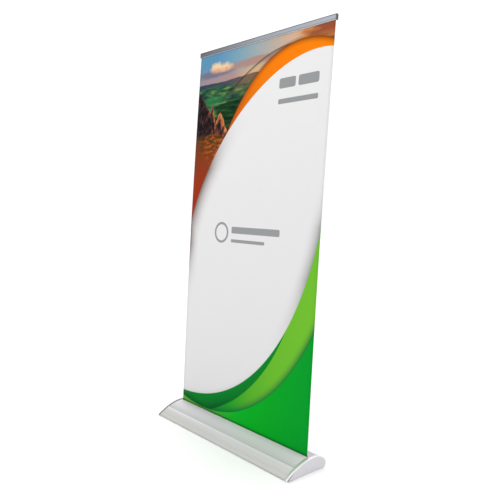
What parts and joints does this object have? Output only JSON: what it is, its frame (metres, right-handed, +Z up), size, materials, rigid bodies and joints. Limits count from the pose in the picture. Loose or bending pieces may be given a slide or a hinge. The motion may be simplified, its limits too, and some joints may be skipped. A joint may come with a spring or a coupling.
{
  "type": "roll-up banner stand",
  "caption": "Roll-up banner stand: wide teardrop cassette with chromed end caps, spring roller, telescopic rear mast and clamp rail holding a tall printed graphic.",
  "frame": {"origin": "centre of the footprint, on the floor", "axes": "+X runs along the banner to its right end as seen from the printed side, -Y is the printed side, +Z is up"},
  "size_m": [1.06, 0.2748, 2.1592],
  "materials": {
    "satin_aluminium": "satin",
    "chrome": "polished",
    "zinc_steel": "satin",
    "rubber": "matte",
    "grey_plastic": "matte",
    "nylon": "matte",
    "pile": "matte",
    "printed_film": "satin"
  },
  "bodies": {
    "base": {"bottom_plate": "satin_aluminium", "rear_shell": "satin_aluminium", "top_strip": "satin_aluminium", "front_cover": "satin_aluminium", "brush_strip_front": "pile", "brush_strip_rear": "pile", "left_end_plate": "zinc_steel", "right_end_plate": "zinc_steel", "left_end_cap": "chrome", "right_end_cap": "chrome", "left_plate_screw_front": "zinc_steel", "left_plate_screw_rear": "zinc_steel", "left_plate_screw_top": "zinc_steel", "right_plate_screw_front": "zinc_steel", "right_plate_screw_rear": "zinc_steel", "right_plate_screw_top": "zinc_steel", "foot_pad_front_left": "rubber", "foot_pad_front_right": "rubber", "foot_pad_rear_left": "rubber", "foot_pad_rear_right": "rubber", "spring_arbor": "zinc_steel", "spring_anchor": "grey_plastic", "torsion_spring": "zinc_steel", "axle_lock": "grey_plastic", "axle_bush": "nylon", "mast_socket": "grey_plastic", "socket_screw": "zinc_steel", "mast_lower_tube": "satin_aluminium", "graphic_sheet": "printed_film"},
    "roller": {"roller_tube": "satin_aluminium", "rolled_graphic": "printed_film", "drive_plug": "grey_plastic", "idle_plug": "grey_plastic", "idle_pin": "zinc_steel"},
    "lower_collar": {"lower_lock_collar": "grey_plastic"},
    "mast_middle": {"mast_middle_tube": "satin_aluminium", "middle_end_plug": "grey_plastic"},
    "upper_collar": {"upper_lock_collar": "grey_plastic"},
    "mast_top": {"mast_top_tube": "satin_aluminium", "top_end_plug": "grey_plastic", "mast_head": "grey_plastic"},
    "rail": {"rail_back": "satin_aluminium", "rail_cap_left": "grey_plastic", "rail_cap_right": "grey_plastic"},
    "rail_jaw": {"rail_front_jaw": "satin_aluminium"}
  },
  "joints": [
    {"name": "mast_middle_slide", "type": "slide", "parent": "base", "child": "mast_middle", "axis": [0, 0, 1], "range_m": [-0.648, 0], "deforming": ["graphic_sheet"]},
    {"name": "mast_top_slide", "type": "slide", "parent": "mast_middle", "child": "mast_top", "axis": [0, 0, 1], "range_m": [-0.648, 0]},
    {"name": "roller_turn", "type": "hinge", "parent": "base", "child": "roller", "pos_m": [0, 0.0077, 0.033], "axis": [1, 0, 0], "range_deg": [-4175, 0]},
    {"name": "lower_collar_turn", "type": "hinge", "parent": "base", "child": "lower_collar", "pos_m": [0, 0.052, 0.7433], "axis": [0, 0, 1], "range_deg": [0, 90]},
    {"name": "upper_collar_turn", "type": "hinge", "parent": "mast_middle", "child": "upper_collar", "pos_m": [0, 0.052, 1.4327], "axis": [0, 0, 1], "range_deg": [0, 90]},
    {"name": "rail_lift", "type": "slide", "parent": "mast_top", "child": "rail", "axis": [0, 0, 1], "range_m": [0, 0.014]},
    {"name": "jaw_hinge", "type": "hinge", "parent": "rail", "child": "rail_jaw", "pos_m": [0, 0.0242, 2.1537], "axis": [1, 0, 0], "range_deg": [-30, 0]}
  ],
  "couplings": [
    {"joint": "mast_top_slide", "follows": "mast_middle_slide", "ratio": 1},
    {"joint": "roller_turn", "follows": "mast_middle_slide", "rad_per_m": 112.36}
  ]
}
